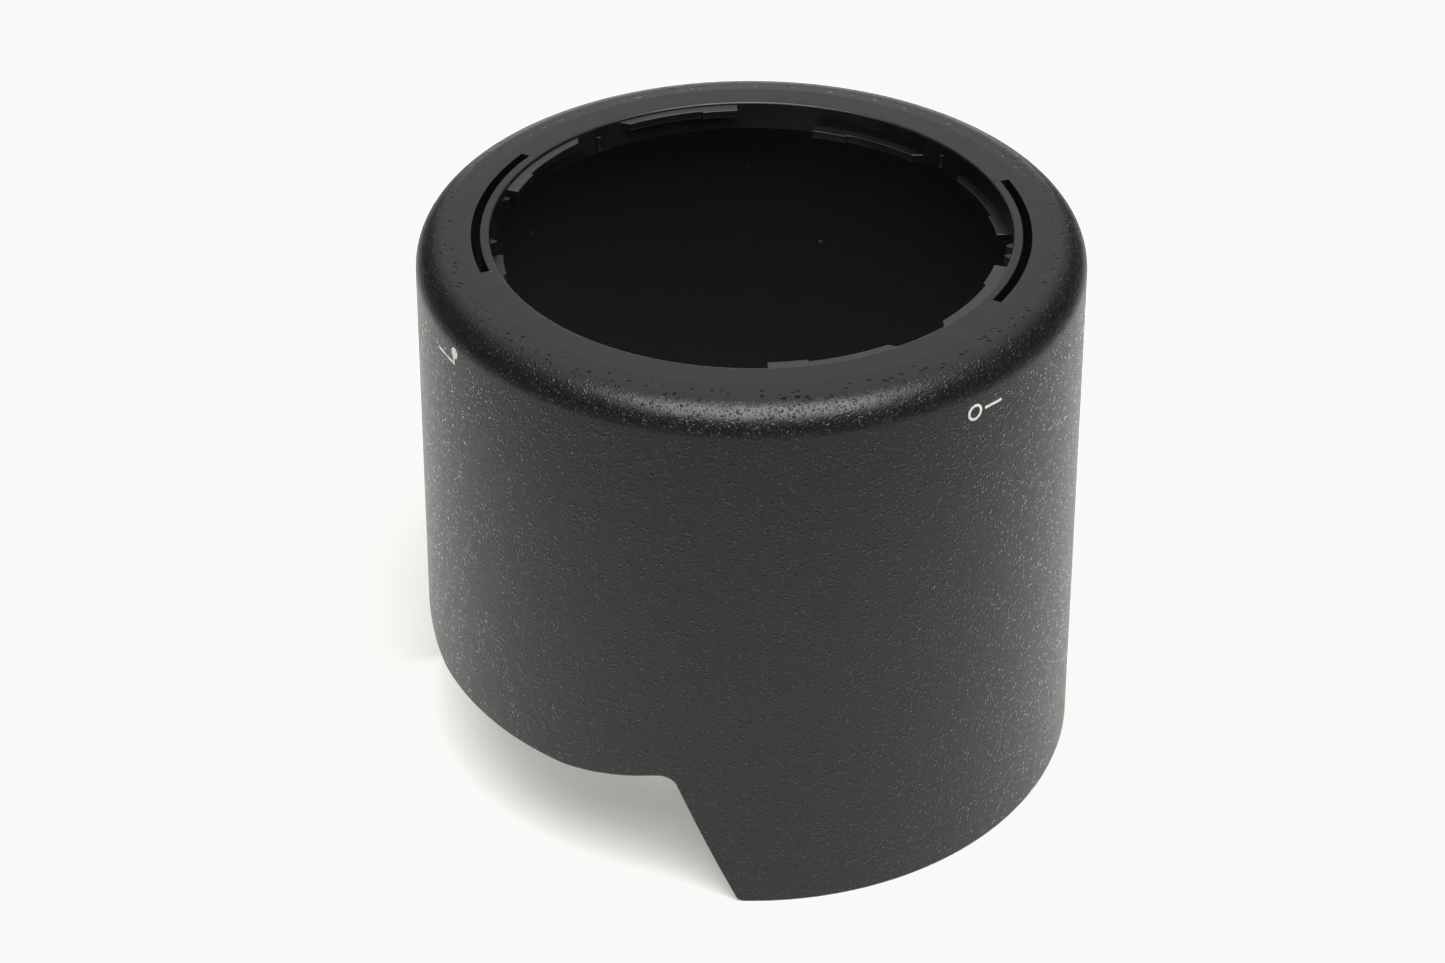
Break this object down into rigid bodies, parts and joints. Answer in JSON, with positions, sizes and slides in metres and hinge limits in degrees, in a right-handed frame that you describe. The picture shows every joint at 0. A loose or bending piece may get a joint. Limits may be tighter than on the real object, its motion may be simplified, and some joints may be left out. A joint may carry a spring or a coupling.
{
  "type": "lens hood",
  "caption": "Petal-shaped bayonet lens hood, a tapered black tube with a rounded shoulder, twist-lock lugs and sprung click tabs.",
  "frame": {"origin": "centre of the plane that the two petal tips rest on", "axes": "+Z along the optical axis towards the lens, +Y through the petal with the lock mark, +X through the notch near the index mark"},
  "size_m": [0.096, 0.097, 0.0814],
  "materials": {
    "grained_shell": "fine crinkle grain, satin",
    "matt_lining": "dead matt",
    "smooth_ring": "smooth satin",
    "mark_print": "thin pad print"
  },
  "bodies": {
    "hood": {"shade_barrel": "grained_shell", "matt_lining": "matt_lining", "bayonet_ring": "smooth_ring", "lock_spring_arm_1": "smooth_ring", "lock_spring_arm_2": "smooth_ring", "index_spring_arm_1": "smooth_ring", "index_spring_arm_2": "smooth_ring", "upper_lug_1": "smooth_ring", "upper_lug_2": "smooth_ring", "upper_lug_3": "smooth_ring", "upper_lug_4": "smooth_ring", "lower_lug_1": "smooth_ring", "lower_lug_2": "smooth_ring", "lower_lug_3": "smooth_ring", "lower_lug_4": "smooth_ring", "guide_nubs": "smooth_ring", "lock_mark_ring": "mark_print", "lock_mark_bar": "mark_print", "index_mark_line": "mark_print", "index_mark_dot": "mark_print"},
    "lock_spring": {"lock_click_spring": "smooth_ring"},
    "index_spring": {"index_click_spring": "smooth_ring"}
  },
  "joints": [
    {"name": "lock_spring_press", "type": "slide", "parent": "hood", "child": "lock_spring", "axis": [-0.6915, 0.7224, 0], "range_m": [0, 0.0008], "stiffness_N_per_m": 5000},
    {"name": "index_spring_press", "type": "slide", "parent": "hood", "child": "index_spring", "axis": [0.6915, -0.7224, 0], "range_m": [0, 0.0008], "stiffness_N_per_m": 5000}
  ]
}
